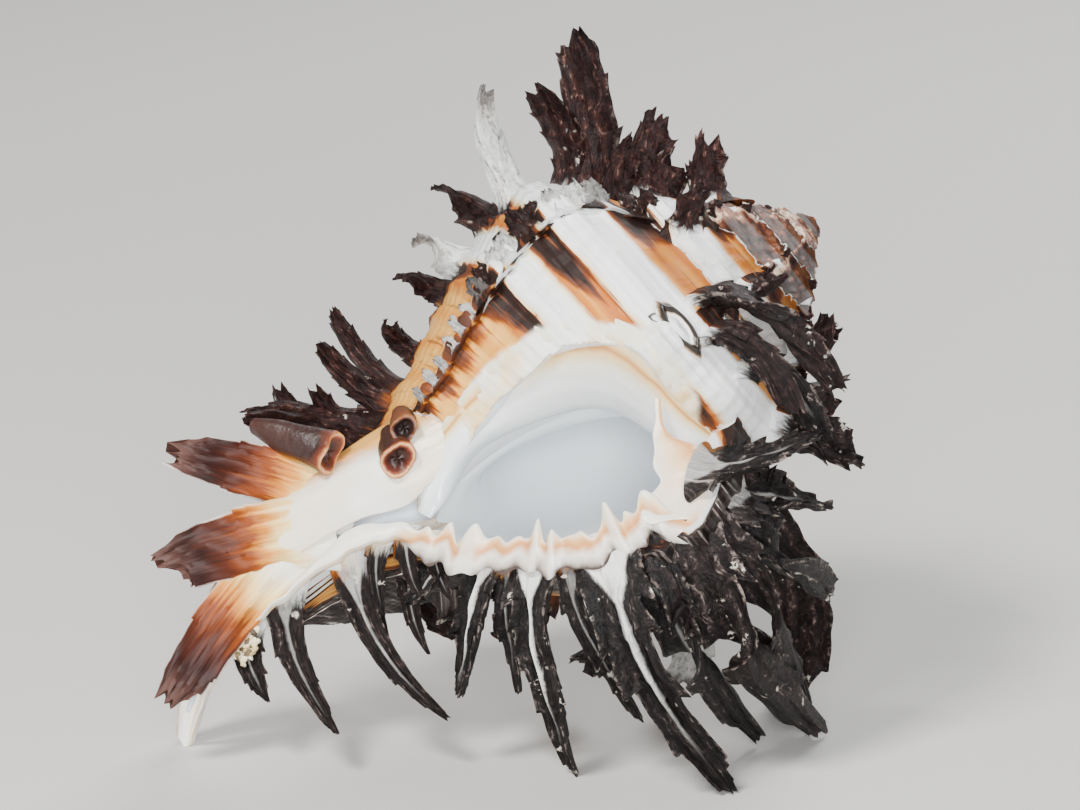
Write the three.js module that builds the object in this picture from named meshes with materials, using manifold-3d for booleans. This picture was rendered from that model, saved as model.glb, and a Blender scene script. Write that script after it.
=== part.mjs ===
// Murex shell: one solid of nested whorls, a canal at the base, and leafy fronds along its varices.
//
// The shell is built upright in its own frame, in millimetres: the coiling axis is Z with the apex at the
// top, the mouth faces -Y and the outer lip lies towards +X. Azimuth 0 is the lip side (+X), 90 the front
// (-Y), 180 the left (-X) and 270 the back; it grows past 360 as the shell grows. It is then tipped over
// on to the frond tips that it stands on, and the worn tips are trimmed flat on the ground plane Z = 0.

import * as THREE from "three";
import { mergeVertices } from "three/addons/utils/BufferGeometryUtils.js";
import Module from "manifold-3d";

const wasm = await Module();
wasm.setup();

// ---- driving dimensions ----

const BODY_RADIUS = 22.4; // shoulder radius on the left side of the body whorl
const GROWTH = 1.62; // radius ratio from one whorl to the next
const LAST_GROWTH = 1.4; // the same, once growth slows before the lip
const SLOWS_AT = 180; // azimuth where it slows
const APEX_HEIGHT = 3; // height at which the spiral would close to a point
const SPIRE_SLOPE = 1.13; // drop of the shoulder for each millimetre of its radius
const FIRST_RADIUS = 1.3; // radius of the first whorl's start
const LIP_AZIMUTH = 408; // where the body whorl ends, 48 degrees round to the front
const VARIX_SWELL = 0.09; // height of a varix as a share of the radius
const VARIX_SPREAD = 9; // half width of a varix, in degrees

// how the shell stands: the axis leans over to the right and the mouth side is tipped up
const AXIS_LEAN = 54.2;
const MOUTH_TIP = 14;
const SEAT = new THREE.Vector3(36, -2.1, 61.9); // where the axis origin stands above the ground

const SWEEP_STEP = 12; // degrees between sections of the last two whorls
const SPIRE_STEP = 30; // the same on the spire

const rad = THREE.MathUtils.degToRad;
const smooth = THREE.MathUtils.smoothstep;
const mix = THREE.MathUtils.lerp;

// ---- whorls ----

// Height drops t below the shoulder against radius, both as a share of the shoulder radius.
const WHORL_PROFILE = [
  [-0.36, 0.6], [-0.2, 0.8], [-0.07, 0.94], [0.06, 1.01], [0.25, 1.0], [0.45, 0.95],
  [0.65, 0.87], [0.85, 0.77], [1.05, 0.66], [1.25, 0.57], [1.5, 0.45], [1.75, 0.3],
];
const LIP_PROFILE = [
  [-0.36, 0.6], [-0.2, 0.8], [-0.07, 0.95], [0.06, 1.02], [0.25, 1.01], [0.45, 0.95],
  [0.65, 0.82], [0.8, 0.68], [0.95, 0.5], [1.1, 0.34], [1.4, 0.2], [1.75, 0.15],
];
const NARROWS_FROM = 290; // azimuth where the base starts to narrow towards the lip's own outline

const VARICES = [LIP_AZIMUTH, 345, 278, 207, 148, 90, 25, -40, -105, -170, -235, -300, -365, -430];

function radius(az) {
  const growth = az < SLOWS_AT ? GROWTH : LAST_GROWTH;
  return BODY_RADIUS * Math.pow(growth, (az - SLOWS_AT) / 360);
}

const shoulderHeight = (az) => APEX_HEIGHT - SPIRE_SLOPE * radius(az);

function lookUp(table, x) {
  const i = Math.max(1, table.findIndex((row) => row[0] >= x));
  const [x0, y0] = table[i - 1];
  const [x1, y1] = table[i];
  return mix(y0, y1, THREE.MathUtils.clamp((x - x0) / (x1 - x0), 0, 1));
}

function profile(az, t) {
  return mix(lookUp(WHORL_PROFILE, t), lookUp(LIP_PROFILE, t), smooth(az, NARROWS_FROM, LIP_AZIMUTH));
}

function swell(az) {
  return VARICES.reduce((sum, v) => sum + VARIX_SWELL * Math.exp(-(((az - v) / VARIX_SPREAD) ** 2)), 1);
}

const polar = (r, az, z) => new THREE.Vector3(r * Math.cos(rad(az)), -r * Math.sin(rad(az)), z);

// The outer surface of the whorl at azimuth az, t shoulder radii below its shoulder.
function surface(az, t) {
  const r = radius(az);
  return polar(r * profile(az, t) * swell(az), az, shoulderHeight(az) - t * r);
}

// Outward normal, and the direction of growth, at the same point.
function surfaceFrame(az, t) {
  const p = surface(az, t);
  const growth = polar(1, az + 90, 0);
  const down = surface(az, t + 0.05).sub(surface(az, t - 0.05));
  const out = down.clone().cross(growth).normalize();
  if (out.dot(polar(1, az, 0)) < 0) out.negate();
  return { p, growth, out };
}

// ---- closed solids from rings of points ----

function loft(rings) {
  const n = rings[0].length;
  const points = rings.flat();
  const faces = [];
  for (let i = 0; i + 1 < rings.length; i++)
    for (let j = 0; j < n; j++) {
      const a = i * n + j;
      const b = i * n + ((j + 1) % n);
      faces.push(a, b, b + n, a, b + n, a + n);
    }
  for (const [end, flip] of [[0, true], [rings.length - 1, false]]) {
    const centre = points.length;
    points.push(rings[end].reduce((sum, p) => sum.add(p), new THREE.Vector3()).divideScalar(n));
    for (let j = 0; j < n; j++) {
      const [a, b] = [end * n + j, end * n + ((j + 1) % n)];
      faces.push(...(flip ? [centre, b, a] : [centre, a, b]));
    }
  }
  return solid(new THREE.BufferGeometry().setFromPoints(points).setIndex(faces));
}

function solid(geometry) {
  const bare = geometry.clone();
  bare.deleteAttribute("normal");
  bare.deleteAttribute("uv");
  const merged = mergeVertices(bare, 1e-4);
  const make = (tris) =>
    new wasm.Manifold(
      new wasm.Mesh({ numProp: 3, vertProperties: merged.attributes.position.array, triVerts: tris }),
    );
  const triangles = new Uint32Array(merged.index.array);
  const made = make(triangles);
  return made.volume() > 0 ? made : make(triangles.reverse());
}

const union = (solids) => wasm.Manifold.union(solids);

// ---- body: the whorls, each sweep half a turn long so that no piece runs into itself ----

function whorlSection(az) {
  const r = radius(az);
  const ring = WHORL_PROFILE.map(([t]) => surface(az, t));
  const core = 0.04 * r;
  ring.push(polar(core, az, shoulderHeight(az) - WHORL_PROFILE.at(-1)[0] * r));
  ring.push(polar(core, az, shoulderHeight(az) - WHORL_PROFILE[0][0] * r));
  return ring;
}

function whorls() {
  const start = SLOWS_AT + (360 * Math.log(FIRST_RADIUS / BODY_RADIUS)) / Math.log(GROWTH);
  const pieces = [];
  const body = LIP_AZIMUTH - 600;
  for (let from = LIP_AZIMUTH; from > start; from -= 180) {
    const step = from > body ? SWEEP_STEP : SPIRE_STEP;
    const to = Math.max(start, from - 180);
    const count = Math.max(1, Math.round((from - to) / step));
    const rings = [];
    for (let i = 0; i <= count; i++) rings.push(whorlSection(mix(to, from, i / count)));
    pieces.push(loft(rings));
  }
  return union(pieces);
}

// ---- canal ----

// Centre across, depth towards the front, height, half width and half depth.
const CANAL = [
  [-2.5, 2, -46, 8.5, 8], [-4, 2.5, -56, 8.2, 7], [-6, 2, -64, 6.6, 6], [-6.4, 0, -72, 6, 5],
  [-5, -3, -80, 4.6, 4], [-2.8, -6, -86.5, 3.8, 3], [1.5, -8.5, -92.5, 2.8, 2.2], [6.2, -10, -97, 1.3, 1.3],
];

function tube(stations, sides) {
  return loft(
    stations.map(([x, front, z, a, b]) =>
      Array.from({ length: sides }, (_, i) => {
        const angle = (2 * Math.PI * i) / sides;
        return new THREE.Vector3(x + a * Math.cos(angle), -front - b * Math.sin(angle), z);
      }),
    ),
  );
}

// ---- fronds ----

// Share of the way along a frond, against its width and thickness as shares of the full ones.
const FROND_OUTLINE = [
  [0, 1.4, 1.6], [0.22, 0.95, 1.15], [0.5, 0.82, 0.9], [0.8, 0.8, 0.6], [1, 0.32, 0.35],
];

// A leafy frond from base to tip, leaving along out and cupped towards growth.
function frond({ p, out, growth }, tip, width, thick = 1.4, bow = 0.45) {
  const length = p.distanceTo(tip);
  const base = p.clone().addScaledVector(out, -0.12 * length - 0.8);
  const knee = p.clone().addScaledVector(out, bow * length);
  const curve = new THREE.QuadraticBezierCurve3(base, knee, tip);
  const rings = FROND_OUTLINE.map(([s, w, h]) => {
    const along = curve.getTangent(s);
    const side = along.clone().cross(growth).normalize();
    const front = side.clone().cross(along).normalize();
    const at = (x, y) =>
      curve.getPoint(s).addScaledVector(side, (x * w * width) / 2).addScaledVector(front, y * h * thick);
    return [at(-1, 0.5), at(-0.55, -0.75), at(0.55, -0.75), at(1, 0.5), at(0.5, 0), at(-0.5, 0)];
  });
  return loft(rings);
}

// A point from its height up the axis, its distance towards the lip and its distance to the front.
const at = (up, lip, front) => new THREE.Vector3(lip, -front, up);

// Azimuth and drop of the base, tip, width, thickness.
const FRONDS = [
  // lip varix, from the shoulder down to the canal: the shell stands on the tips of the first three
  [405, 0.05, at(-33.6, 51.1, -11), 11, 2.6],
  [408, 0.5, at(-46.2, 49.1, 12), 6.5, 2],
  [408, 0.76, at(-60.4, 36.6, 5), 5.5, 2],
  [408, 0.92, at(-66.1, 21.3, 6), 5, 1.8],
  [408, 1.08, at(-65, 8.5, 8), 3.6],
  [400, -0.1, at(-17.1, 28.3, 8), 7],
  [398, 0, at(-23.1, 38, -4), 7],
  [412, -0.08, at(-12.9, 20.3, 20), 4.5],
  [402, 0.3, at(-38, 43, 2), 5],
  // the varix before it, mostly hidden at the back: the shell stands on its shoulder frond as well
  [345, 0, at(-35, 45.7, -25), 8, 2.4],
  [345, 0.35, at(-45, 36, -20), 6],
  [345, 0.65, at(-53, 27, -20), 5],
  [345, 0.95, at(-58, 17, -17), 5],
  [345, 1.25, at(-64, 8, -18), 4.5],
  // back of the body whorl
  [278, 0.02, at(-21, -2, -43), 9, 2],
  [278, 0.3, at(-33, -2, -37), 6.5],
  [278, 0.6, at(-45, -3, -33), 6],
  [278, 0.9, at(-54, -4, -28), 6],
  [278, 1.2, at(-61, -5, -23), 5],
  // left side, in outline from the spire down to the canal
  [207, -0.16, at(-8.5, -36.5, -4), 9, 2.4],
  [205, -0.12, at(-16.4, -33.3, 0), 6],
  [207, 0.13, at(-20.6, -36.7, -2), 5],
  [207, 0.29, at(-32.4, -30.1, -3), 5.5],
  [207, 0.54, at(-38, -26.5, -2), 5],
  [207, 0.69, at(-42.9, -24, -3), 4.5],
  [207, 1.01, at(-47.1, -20.6, -3), 4],
  [209, 1.2, at(-51.5, -26, -6), 4.5],
  [205, 1.3, at(-55.3, -23.4, -2), 5],
  [208, 1.5, at(-58.8, -19.5, -3), 4.5],
  [208, 1.65, at(-62.2, -22.4, -4), 5],
  // front of the body whorl, worn short
  [146, 0.05, at(-21.6, -22.4, 17.5), 6],
  [144, 0.24, at(-27, -20.9, 17.5), 6],
  [146, 0.5, at(-32.7, -19.8, 15), 5],
  [148, 0.66, at(-36.5, -18.2, 12.5), 4.5],
  // above the mouth
  [93, -0.2, at(-8.4, 18.3, 17), 7, 1.8],
  [88, 0, at(-15, 14, 25), 6],
  [62, 0.17, at(-26.6, 8.1, 23), 4],
  [54, 0.1, at(-30, 12.7, 23), 5],
  [60, -0.14, at(-13.1, 21.6, 16), 6],
  // spire
  [-155, 0.03, at(-4.8, -21.7, -6), 7, 1.8],
  [-157, 0.2, at(-9.5, -21.5, -3), 5],
  [-159, -0.1, at(-7.2, -16.9, -4), 5],
  [-515, 0.03, at(-2, -16.3, -3), 5],
  [25, -0.05, at(-10, 26, 4), 7, 1.8],
  [-40, -0.02, at(-6, 19, -22), 7, 1.8],
  [-100, 0, at(-6, -6, -27), 7, 1.8],
  [-340, 0, at(-3.6, 9.5, 8), 4],
  [-280, 0, at(-5, 3, 15.5), 4],
  [-230, 0, at(-6.5, -11, 14), 4],
  [-400, 0, at(-2.5, 12, -7), 4],
  [-460, 0, at(-2, -2, -14), 4],
];

// Fronds along the canal: base, tip, width, thickness. They are cupped towards the front.
const CANAL_FRONDS = [
  [at(-64.5, -1, 4), at(-68.5, 22.6, -6), 6, 1.8],
  [at(-73.5, -1.5, 2), at(-80.5, 16.3, -8), 5.5, 1.6],
  [at(-80.5, -1, 0), at(-84.6, 7.6, -5), 4],
  [at(-65, -9, 2), at(-78.2, -23.9, -3), 8.5, 1.8],
  [at(-70, -9, 0), at(-86.8, -14, -6), 9, 1.8],
  [at(-74, -5, 1), at(-95.6, 0.4, -7), 7, 1.8],
];

// Spent canals left behind at earlier varices: base, tip, radius.
const SPENT_CANALS = [
  [at(-50, -4, 5), at(-62.4, -12.5, 6), 3.4],
  [at(-54, -6, 1), at(-67.5, -21, 1), 3.4],
];

function frondSolids() {
  const forward = new THREE.Vector3(0, -1, 0);
  const onVarices = FRONDS.map(([az, t, tip, width, thick]) => frond(surfaceFrame(az, t), tip, width, thick));
  const onCanal = CANAL_FRONDS.map(([p, tip, width, thick]) => {
    const out = tip.clone().sub(p).add(new THREE.Vector3(0, 0, 0.3 * p.distanceTo(tip))).normalize();
    return frond({ p, out, growth: forward }, tip, width, thick);
  });
  return [...onVarices, ...onCanal];
}

function spentCanals() {
  const made = SPENT_CANALS.map(([base, tip, r]) => {
    const along = tip.clone().sub(base);
    const turn = new THREE.Quaternion().setFromUnitVectors(new THREE.Vector3(0, 1, 0), along.clone().normalize());
    const place = (g) => solid(g.applyQuaternion(turn).translate(...base.clone().addScaledVector(along, 0.5)));
    const outer = place(new THREE.CylinderGeometry(r, r * 0.8, along.length(), 9));
    const bore = new THREE.ConeGeometry(r * 0.62, 6, 7).rotateX(Math.PI).translate(0, along.length() / 2 - 2.7, 0);
    return outer.subtract(place(bore));
  });
  return union(made);
}

// ---- mouth: the hollow, swept back from the aperture inside the body whorl ----

const COLUMELLA_SHIFT = -3; // the pillar stands this far off the coiling axis

// Azimuth, inner and outer radius at mid height, height of the middle, half height, and how far the
// section leans outwards at its top.
const HOLLOW = [
  [130, 9, 12, -20, 4, 0], [170, 7, 14, -24, 7, 1], [220, 6, 16.5, -29, 10.5, 2], [270, 5, 19.5, -33, 12.5, 3],
  [320, 5, 22, -36, 13.8, 4], [360, 5, 24, -38, 14.6, 4.5], [385, 5, 25.4, -39.5, 15, 4],
  [400, 5, 26.4, -40.5, 15.6, 3.5], [408, 5, 28, -40.8, 16, 3.5], [416, 5.5, 33, -41, 16.4, 3],
  [428, 6.5, 40, -41.5, 16.8, 2], [445, 9, 40, -41.5, 16, 1], [458, 12.5, 40, -43, 13, 0],
];

function hollow() {
  const sides = 12;
  const bulge = (x) => Math.sign(x) * Math.abs(x) ** 0.75;
  return loft(
    HOLLOW.map(([az, inner, outer, z, half, lean]) =>
      Array.from({ length: sides }, (_, i) => {
        const angle = (2 * Math.PI * (i + 0.5)) / sides;
        const up = Math.sin(angle);
        const r = (inner + outer) / 2 + ((outer - inner) / 2) * bulge(Math.cos(angle)) + lean * up;
        return polar(r, az, z + half * up).add(new THREE.Vector3(COLUMELLA_SHIFT, 0, 0));
      }),
    ),
  );
}

// The open slit along the canal: centre across, depth, height, half width and half depth.
const SLIT = [
  [1, 14, -52, 4.5, 7], [0.3, 8, -57, 2.6, 5], [-1, 5, -63, 1.6, 4], [-1, 4, -72, 1.3, 4],
  [-1.8, 1, -80, 1.2, 4], [-0.5, -2, -86, 1, 4], [3.4, -5, -92, 0.8, 3.4], [6.5, -7, -98, 0.7, 3],
];

// ---- assembly ----

// From the shell's own frame to the standing one.
function stance() {
  const turn = new THREE.Matrix4().makeRotationX(-rad(MOUTH_TIP));
  turn.multiply(new THREE.Matrix4().makeRotationY(rad(AXIS_LEAN)));
  return turn.setPosition(SEAT);
}

function shellSolid() {
  const outside = union([whorls(), tube(CANAL, 10), spentCanals(), ...frondSolids()]);
  const shell = outside.subtract(union([hollow(), tube(SLIT, 6)]));
  const ground = new THREE.BoxGeometry(300, 300, 40).translate(0, 0, -20);
  const trimmed = shell.subtract(solid(ground.applyMatrix4(stance().invert())));
  // the largest skin, without the sealed gaps left between the whorls
  return trimmed.decompose().sort((a, b) => b.volume() - a.volume())[0];
}

function toGeometry(made) {
  const mesh = made.getMesh();
  return new THREE.BufferGeometry()
    .setAttribute("position", new THREE.BufferAttribute(new Float32Array(mesh.vertProperties), 3))
    .setIndex(new THREE.BufferAttribute(new Uint32Array(mesh.triVerts), 1));
}

const shell = new THREE.Mesh(
  toGeometry(shellSolid()),
  new THREE.MeshStandardMaterial({ color: 0xe9e2d6, roughness: 0.35, metalness: 0 }),
);
shell.name = "shell";

const lean = new THREE.Group();
lean.rotation.y = rad(AXIS_LEAN);
lean.add(shell);

const root = new THREE.Group();
root.rotation.x = -rad(MOUTH_TIP);
root.position.copy(SEAT);
root.add(lean);

export default root;
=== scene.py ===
import bpy
import numpy as np
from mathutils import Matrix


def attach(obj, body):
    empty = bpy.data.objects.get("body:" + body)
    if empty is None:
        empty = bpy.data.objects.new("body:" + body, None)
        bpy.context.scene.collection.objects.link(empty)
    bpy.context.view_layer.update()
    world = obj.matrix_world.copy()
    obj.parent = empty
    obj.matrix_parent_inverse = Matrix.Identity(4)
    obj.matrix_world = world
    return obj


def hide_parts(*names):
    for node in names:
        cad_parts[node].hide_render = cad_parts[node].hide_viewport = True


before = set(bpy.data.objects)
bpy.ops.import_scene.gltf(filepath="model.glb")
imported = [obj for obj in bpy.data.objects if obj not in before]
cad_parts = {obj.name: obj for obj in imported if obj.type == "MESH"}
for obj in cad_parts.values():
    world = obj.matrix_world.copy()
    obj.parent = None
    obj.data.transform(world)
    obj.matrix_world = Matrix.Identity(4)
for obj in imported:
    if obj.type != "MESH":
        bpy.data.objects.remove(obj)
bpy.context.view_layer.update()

# ---- Table, light and camera ----
# The shell stands on a plain pale table under soft studio light. The camera looks at the mouth side from
# fourteen degrees above the table, far enough off that the shell keeps its true proportions.

CAMERA_DISTANCE, VIEW_WIDTH, FILM_WIDTH = 0.70, 0.1296, 36
CAMERA_TARGET = np.array([0.0044, -0.0072, 0.0416])
VIEW_ELEVATION = np.radians(14)

camera = bpy.data.objects.new("camera", bpy.data.cameras.new("camera"))
bpy.context.scene.collection.objects.link(camera)
toward_camera = np.array([0, -np.cos(VIEW_ELEVATION), np.sin(VIEW_ELEVATION)])
camera.location = CAMERA_TARGET + CAMERA_DISTANCE * toward_camera
camera.rotation_euler = (np.pi / 2 - VIEW_ELEVATION, 0, 0)
camera.data.sensor_width = FILM_WIDTH
camera.data.lens = FILM_WIDTH * CAMERA_DISTANCE / VIEW_WIDTH
camera.data.clip_start = 0.01
bpy.context.scene.camera = camera


def softbox(name, place, size, power, warmth=(1, 1, 1)):
    """A square lamp at a place in metres, turned to face the middle of the shell."""
    lamp = bpy.data.lights.new(name, "AREA")
    lamp.size = size
    lamp.energy = power
    lamp.color = warmth
    holder = bpy.data.objects.new(name, lamp)
    holder.location = place
    away = holder.location - type(holder.location)(CAMERA_TARGET)
    holder.rotation_euler = away.to_track_quat("Z", "Y").to_euler()
    bpy.context.scene.collection.objects.link(holder)


softbox("key_light", (-0.30, -0.50, 0.62), 0.18, 10.2, (1, 0.985, 0.96))
softbox("front_light", (0.02, -0.78, 0.24), 0.24, 8.8, (0.97, 0.985, 1))
softbox("back_light", (0.25, 0.55, 0.55), 0.40, 5.0)

world = bpy.data.worlds.new("studio")
bpy.context.scene.world = world
world.use_nodes = True
world.node_tree.nodes["Background"].inputs["Color"].default_value = (0.93, 0.94, 0.96, 1)
world.node_tree.nodes["Background"].inputs["Strength"].default_value = 0.24

TABLE_HALF = 4
corners = [(x * TABLE_HALF, y * TABLE_HALF, 0) for x, y in ((-1, -1), (1, -1), (1, 1), (-1, 1))]
table = bpy.data.meshes.new("table")
table.from_pydata(corners, [], [(0, 1, 2, 3)])
table_top = bpy.data.objects.new("table", table)
bpy.context.scene.collection.objects.link(table_top)
pale = bpy.data.materials.new("pale_table")
pale.use_nodes = True
pale.node_tree.nodes["Principled BSDF"].inputs["Base Color"].default_value = (0.62, 0.61, 0.59, 1)
pale.node_tree.nodes["Principled BSDF"].inputs["Roughness"].default_value = 0.7
table.materials.append(pale)

# ---- Whorls: the coiled body and the spire ----
# One tube of porcelain-like shell wound round its own axis. Each turn is six tenths wider than the one
# before, the newest four. Brown bands follow the coil. Every 60 degrees or so an old lip, a varix, stands up.

BODY_RADIUS, WHORL_GROWTH, LAST_GROWTH, SLOWS_AT = 22.4, 1.62, 1.4, 180
APEX_HEIGHT, SPIRE_SLOPE, FIRST_RADIUS, LIP_AZIMUTH = 3.0, 1.13, 1.3, 408
AXIS_LEAN, MOUTH_TIP = np.radians(54.2), np.radians(14)
SEAT, TABLE_GAP = np.array([36.0, -2.1, 61.9]), 0.00002
VARICES = np.array([
    -2400, -1250, -1185, -1125, -1060, -1000, -940, -880, -820, -760, -700, -640, -580, -515, -460,
    -400, -340, -280, -215, -155, -100, -40, 25, 90, 148, 207, 278, 345, 408, 900,
], float)
PROFILE_TOP, PROFILE_FOOT = -0.36, 1.75
# height drop below the shoulder against radius, both as shares of the shoulder radius
WHORL_PROFILE = [
    [PROFILE_TOP, 0.6], [-0.2, 0.8], [-0.07, 0.94], [0.06, 1.01], [0.25, 1.0], [0.45, 0.95],
    [0.65, 0.87], [0.85, 0.77], [1.05, 0.66], [1.25, 0.57], [1.5, 0.45], [PROFILE_FOOT, 0.3],
]
LIP_PROFILE = [
    [PROFILE_TOP, 0.6], [-0.2, 0.8], [-0.07, 0.95], [0.06, 1.02], [0.25, 1.01], [0.45, 0.95],
    [0.65, 0.82], [0.8, 0.68], [0.95, 0.5], [1.1, 0.34], [1.4, 0.2], [PROFILE_FOOT, 0.15],
]
# where the frond-bearing cords lie, how wide each is, and how high its knuckle stands on a varix
CORDS = [
    [-0.15, 0.06, 0.06], [0.02, 0.05, 0.04], [0.13, 0.06, 0.06], [0.29, 0.05, 0.06], [0.42, 0.04, 0.04],
    [0.54, 0.05, 0.055], [0.69, 0.05, 0.05], [0.85, 0.05, 0.045], [1.01, 0.055, 0.045], [1.25, 0.05, 0.05],
    [1.5, 0.05, 0.05],
]


def stood(points):
    """Shell-frame millimetres to frame metres: leaned about Y, tipped about X, lifted to its seat. What would
    reach below the table is worn flat on it."""
    c, s = np.cos(AXIS_LEAN), np.sin(AXIS_LEAN)
    lean = np.array([[c, 0, s], [0, 1, 0], [-s, 0, c]])
    c, s = np.cos(MOUTH_TIP), np.sin(MOUTH_TIP)
    tip = np.array([[1, 0, 0], [0, c, s], [0, -s, c]])
    placed = (points @ (tip @ lean).T + SEAT) / 1000
    placed[..., 2] = np.maximum(placed[..., 2], TABLE_GAP)
    return placed


def through(table, at):
    """The other columns of a table at given values of its first: cubics whose slopes follow the rows."""
    table = np.asarray(table, float)
    key, rows = table[:, 0], table[:, 1:]
    at = np.asarray(at, float)
    slope = np.gradient(rows, key, axis=0)
    i = np.clip(np.searchsorted(key, at) - 1, 0, len(key) - 2)
    h = (key[i + 1] - key[i])[..., None]
    s = np.clip((at[..., None] - key[i][..., None]) / h, 0, 1)
    near = (2 * s**3 - 3 * s**2 + 1) * rows[i] + (s**3 - 2 * s**2 + s) * h * slope[i]
    return near + (3 * s**2 - 2 * s**3) * rows[i + 1] + (s**3 - s**2) * h * slope[i + 1]


def ramped(x, low, high):
    """Nought below low, one above high, and an S-curve between."""
    s = np.clip((x - low) / (high - low), 0, 1)
    return s * s * (3 - 2 * s)


def bell(x, middle, width):
    """A hump of height one: e to the minus square of the distance from its middle in widths."""
    return np.exp(-(((x - middle) / width) ** 2))


def shoulder(az):
    """Shoulder radius: the body radius times the growth ratio once for every turn."""
    return BODY_RADIUS * np.where(az < SLOWS_AT, WHORL_GROWTH, LAST_GROWTH) ** ((az - SLOWS_AT) / 360)


def varix_age(az):
    """How far the growth has come from the last varix (0) to the next (1), and the degrees to each."""
    after = np.clip(np.searchsorted(VARICES, az), 1, len(VARICES) - 1)
    gone, left = az - VARICES[after - 1], VARICES[after] - az
    return gone / (gone + left), gone, left


def skin(az, drop, rough=1.0):
    """Outer surface: the profile's radius, raised by ribs at the varices, knuckles where cords cross them,
    the cords themselves, fine spiral threads and a slow wander."""
    r = shoulder(az)
    share = through(WHORL_PROFILE, drop)[..., 0]
    share = share + (through(LIP_PROFILE, drop)[..., 0] - share) * ramped(az, 290, LIP_AZIMUTH)
    age, gone, left = varix_age(az)
    rise = np.exp(-((left / 13) ** 2)) + np.exp(-((gone / 3.5) ** 2)) * (gone > 0)
    fluting = 0.5 + 0.5 * np.cos(2 * np.pi * drop / 0.062)
    edge = np.exp(-((left / 6) ** 2)) + np.exp(-((gone / 1.6) ** 2))
    spire = 1 + 2.0 * ramped(-az, 60, 420)
    relief = 0.045 * rise * spire + 0.016 * edge * fluting
    for place, width, height in CORDS:
        relief = relief + bell(drop, place, width) * (height * rise * spire + 0.024)
    relief = relief + 0.0045 * np.cos(2 * np.pi * drop / 0.058) * ramped(r, 3, 9)
    relief = relief + 0.03 * (spire - 1) * np.sin(0.31 * az + 7 * drop) * np.sin(0.17 * az - 23 * drop)
    relief = relief + 0.035 * bell(age, 0.52, 0.16) * bell(drop, 0.02, 0.16)
    relief = relief + 0.007 * np.sin(0.11 * az + 9 * drop) * np.sin(0.047 * az - 5 * drop + 1)
    relief = relief + 0.004 * np.sin(0.9 * az + 4 * np.sin(3 * drop)) * ramped(drop, -0.2, 0.1)
    rr = r * share * (1 + rough * relief)
    a = np.radians(az)
    return np.stack([rr * np.cos(a), -rr * np.sin(a), APEX_HEIGHT - SPIRE_SLOPE * r - drop * r], -1)


def closed_surface(name, rings, marks, finish):
    """A mesh through rings of points, each ring joined to the next and the two ends capped, faces outwards.
    Marks are numbers kept at every point, such as how far along a frond it is."""
    count, around = rings.shape[:2]
    index = np.arange(count * around).reshape(count, around)
    beside = np.roll(index, -1, 1)
    quads = np.stack([index[:-1], beside[:-1], beside[1:], index[1:]], -1).reshape(-1, 4)
    flat = rings.reshape(-1, 3)
    a, b, c, d = (flat[quads[:, corner]] for corner in range(4))
    inward = np.sum(a * np.cross(b, c) + a * np.cross(c, d)) < 0
    faces = [*quads, index[0][::-1], index[-1]]
    faces = [(face[::-1] if inward else face).tolist() for face in faces]
    mesh = bpy.data.meshes.new(name)
    mesh.from_pydata(stood(flat), [], faces)
    for mark, values in marks.items():
        spread = np.broadcast_to(values, rings.shape[:2]).astype(np.float32)
        mesh.attributes.new(mark, "FLOAT", "POINT").data.foreach_set("value", spread.ravel())
    mesh.materials.append(finish)
    mesh.update()
    made = bpy.data.objects.new(name, mesh)
    bpy.context.scene.collection.objects.link(made)
    return made


def combined(name, first, others, how="UNION"):
    """The first solid with the others joined to it or cut from it, as one new mesh."""
    for other in others:
        step = first.modifiers.new("step", "BOOLEAN")
        step.solver, step.operation, step.object, step.material_mode = "MANIFOLD", how, other, "TRANSFER"
    mesh = bpy.data.meshes.new_from_object(first.evaluated_get(bpy.context.evaluated_depsgraph_get()))
    for used in [first, *others]:
        bpy.data.objects.remove(used)
    mesh.name = name
    made = bpy.data.objects.new(name, mesh)
    bpy.context.scene.collection.objects.link(made)
    return made


def joined(name, parts):
    """Several meshes put together as one object."""
    with bpy.context.temp_override(active_object=parts[0], object=parts[0], selected_objects=parts,
                                   selected_editable_objects=parts):
        bpy.ops.object.join()
    parts[0].name = parts[0].data.name = name
    return parts[0]


def rounded(piece, crease=50):
    """Smooth shading, broken only where faces meet at more than the crease in degrees."""
    piece.data.shade_smooth()
    piece.data.set_sharp_from_angle(angle=np.radians(crease))


def paint(red, green, blue):
    """A colour given in everyday 0 to 255 numbers, as the shader's linear ones."""
    c = np.array([red, green, blue]) / 255
    return (*np.where(c <= 0.04045, c / 12.92, ((c + 0.055) / 1.055) ** 2.4), 1)


def feed(tree, taker, inputs):
    """Sets a node's inputs to values, or joins them to other nodes' outputs."""
    for key, value in inputs.items():
        if isinstance(value, bpy.types.NodeSocket):
            tree.links.new(value, taker.inputs[key])
        else:
            taker.inputs[key].default_value = value


def node(tree, kind, inputs=None, **settings):
    """One node with its settings and its inputs."""
    made = tree.nodes.new(kind)
    for key, value in settings.items():
        setattr(made, key, value)
    feed(tree, made, inputs or {})
    return made


def here(tree):
    """Where a point of the surface lies, in metres."""
    return node(tree, "ShaderNodeTexCoord").outputs["Object"]


def maths(tree, how, *values):
    """A Math node's result."""
    return node(tree, "ShaderNodeMath", dict(enumerate(values)), operation=how).outputs[0]


def times(tree, *values):
    """The product of several numbers."""
    product = values[0]
    for value in values[1:]:
        product = maths(tree, "MULTIPLY", product, value)
    return product


def plus(tree, first, second):
    """The sum of two numbers."""
    return maths(tree, "ADD", first, second)


def swing(tree, noise, amount):
    """Noise that swings about nought: what it has above one half, times an amount."""
    return times(tree, maths(tree, "SUBTRACT", noise, 0.5), amount)


def kept(tree, mark):
    """A number kept on the mesh."""
    return node(tree, "ShaderNodeAttribute", attribute_name=mark).outputs["Fac"]


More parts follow.
